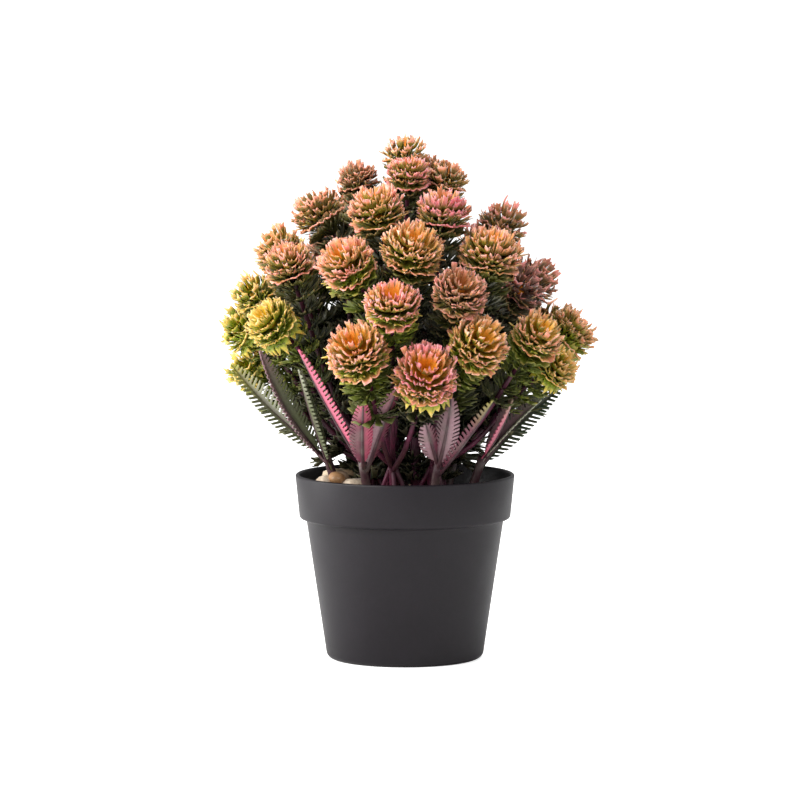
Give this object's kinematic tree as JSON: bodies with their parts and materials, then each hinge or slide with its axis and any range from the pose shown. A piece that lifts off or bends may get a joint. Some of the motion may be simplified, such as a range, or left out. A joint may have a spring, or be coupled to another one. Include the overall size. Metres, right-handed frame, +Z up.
{
  "type": "potted artificial lavender bush",
  "caption": "Artificial potted pink lavender bush: a dome of rosette heads on branching stems over comb-edged leaves, in a tapered dark pot filled with a block and pebbles.",
  "frame": {"origin": "middle of the pot's flat underside, on the surface it stands on", "axes": "+Z up along the pot's axis; -Y towards the front of the bush; +X to the right seen from the front"},
  "size_m": [0.1547, 0.1575, 0.2151],
  "materials": {
    "pot_plastic": "moulded charcoal, fine satin",
    "filler_block": "cast, rough",
    "pebble_stone": "tumbled stones, cream, tan and grey-brown",
    "stem_plastic": "dark burgundy and dark green moulded",
    "leaf_plastic": "mauve, pink and grey-green moulded",
    "head_plastic": "peach-pink and orange tips on yellow-green, matte"
  },
  "bodies": {
    "root": {"pot": "pot_plastic", "filler": "filler_block", "pebbles": "pebble_stone", "spray_1": "stem_plastic", "spray_2": "stem_plastic", "spray_3": "stem_plastic", "spray_4": "stem_plastic", "spray_5": "stem_plastic", "spray_6": "stem_plastic", "leaf_tuft_1": "leaf_plastic", "leaf_tuft_2": "leaf_plastic", "leaf_tuft_3": "leaf_plastic", "leaf_tuft_4": "leaf_plastic", "leaf_tuft_5": "leaf_plastic", "leaf_tuft_6": "leaf_plastic", "head_01": "head_plastic", "head_02": "head_plastic", "head_03": "head_plastic", "head_04": "head_plastic", "head_05": "head_plastic", "head_06": "head_plastic", "head_07": "head_plastic", "head_08": "head_plastic", "head_09": "head_plastic", "head_10": "head_plastic", "head_11": "head_plastic", "head_12": "head_plastic", "head_13": "head_plastic", "head_14": "head_plastic", "head_15": "head_plastic", "head_16": "head_plastic", "head_17": "head_plastic", "head_18": "head_plastic", "head_19": "head_plastic", "head_20": "head_plastic", "head_21": "head_plastic", "head_22": "head_plastic", "head_23": "head_plastic", "head_24": "head_plastic", "head_25": "head_plastic", "head_26": "head_plastic", "head_27": "head_plastic", "head_28": "head_plastic", "head_29": "head_plastic", "head_30": "head_plastic", "head_31": "head_plastic", "head_32": "head_plastic", "head_33": "head_plastic", "head_34": "head_plastic", "head_35": "head_plastic", "head_36": "head_plastic", "head_37": "head_plastic", "head_38": "head_plastic", "head_39": "head_plastic", "head_40": "head_plastic", "head_41": "head_plastic", "head_42": "head_plastic", "head_43": "head_plastic", "head_44": "head_plastic"}
  },
  "joints": []
}
